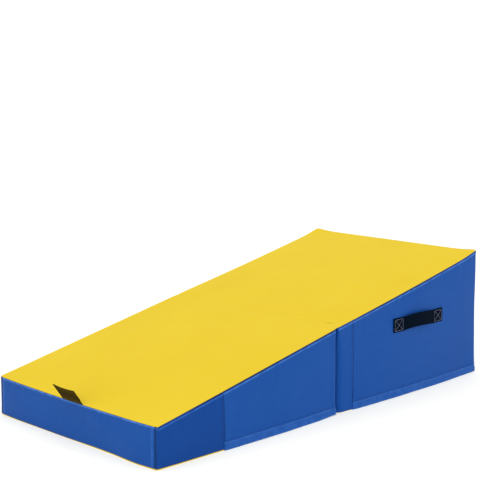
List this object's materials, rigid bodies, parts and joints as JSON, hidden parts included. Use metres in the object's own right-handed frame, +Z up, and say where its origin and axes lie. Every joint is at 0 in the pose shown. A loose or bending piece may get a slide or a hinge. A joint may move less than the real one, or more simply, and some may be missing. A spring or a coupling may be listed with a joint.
{
  "type": "incline wedge mat",
  "caption": "Folding foam incline wedge mat in a zipped vinyl cover, hinged across its middle by its top sheet, with webbing side handles and a hook-and-loop closing tab.",
  "frame": {"origin": "on the floor, at the centre of the whole footprint with the mat unfolded", "axes": "+X runs up the slope, from the thin end to the tall end; +Y runs across the mat; +Z is up"},
  "size_m": [1.2549, 0.6328, 0.3556],
  "materials": {
    "foam": "matte closed-cell foam",
    "vinyl_yellow": "satin, fine grain",
    "vinyl_blue": "satin, fine grain",
    "webbing_black": "woven",
    "webbing_olive": "woven",
    "hook_black": "stiff hooks",
    "loop_black": "soft loops",
    "thread_grey": "spun thread",
    "zip_tape": "woven",
    "zip_coil": "satin",
    "zip_slider": "satin"
  },
  "bodies": {
    "closure_tab": {"closure_hook_tape": "hook_black", "closure_tab": "webbing_olive"},
    "tall_block": {"closure_loop_patch": "loop_black", "fold_hinge_strip": "vinyl_yellow", "handle_backing_left": "vinyl_blue", "handle_backing_right": "vinyl_blue", "handle_stitching_left": "thread_grey", "handle_stitching_right": "thread_grey", "handle_strap_left": "webbing_black", "handle_strap_right": "webbing_black", "tall_base_panel": "vinyl_yellow", "tall_end_panel": "vinyl_blue", "tall_foam_plank_1": "foam", "tall_foam_plank_2": "foam", "tall_foam_plank_3": "foam", "tall_foam_plank_4": "foam", "tall_foam_plank_5": "foam", "tall_foam_plank_6": "foam", "tall_foam_plank_7": "foam", "tall_inner_band": "vinyl_blue", "tall_side_panel_left": "vinyl_blue", "tall_side_panel_right": "vinyl_blue", "tall_top_panel": "vinyl_yellow", "tall_zip_coil_lower": "zip_coil", "tall_zip_coil_upper": "zip_coil", "tall_zip_flap": "vinyl_blue", "tall_zip_stop": "zip_coil", "tall_zip_tape_lower": "zip_tape", "tall_zip_tape_upper": "zip_tape"},
    "thin_block": {"closure_tab_root": "webbing_olive", "thin_base_panel": "vinyl_yellow", "thin_end_panel": "vinyl_blue", "thin_foam_plank_1": "foam", "thin_foam_plank_2": "foam", "thin_foam_plank_3": "foam", "thin_foam_plank_4": "foam", "thin_foam_plank_5": "foam", "thin_inner_band": "vinyl_blue", "thin_side_panel_left": "vinyl_blue", "thin_side_panel_right": "vinyl_blue", "thin_top_panel": "vinyl_yellow", "thin_zip_coil_lower": "zip_coil", "thin_zip_coil_upper": "zip_coil", "thin_zip_flap": "vinyl_blue", "thin_zip_stop": "zip_coil", "thin_zip_tape_lower": "zip_tape", "thin_zip_tape_upper": "zip_tape"},
    "tall_zip_slider": {"tall_zip_slider": "zip_slider"},
    "thin_zip_slider": {"thin_zip_slider": "zip_slider"}
  },
  "joints": [
    {"name": "fold", "type": "hinge", "parent": "tall_block", "child": "thin_block", "pos_m": [0.01308, 0, 0.2311], "axis": [0, 1, 0], "range_deg": [0, 180], "deforming": ["fold_hinge_strip"]},
    {"name": "closure_tab_swing", "type": "hinge", "parent": "thin_block", "child": "closure_tab", "pos_m": [-0.60022, 0, 0.101], "axis": [0, 1, 0], "range_deg": [-145, 35], "stiffness_Nm_per_rad": 0.004},
    {"name": "tall_zip_slide", "type": "slide", "parent": "tall_block", "child": "tall_zip_slider", "axis": [1, 0, 0], "range_m": [0, 0.5236], "deforming": ["tall_zip_coil_upper", "tall_zip_coil_lower"]},
    {"name": "thin_zip_slide", "type": "slide", "parent": "thin_block", "child": "thin_zip_slider", "axis": [1, 0, 0], "range_m": [0, 0.3771], "deforming": ["thin_zip_coil_upper", "thin_zip_coil_lower"]}
  ]
}
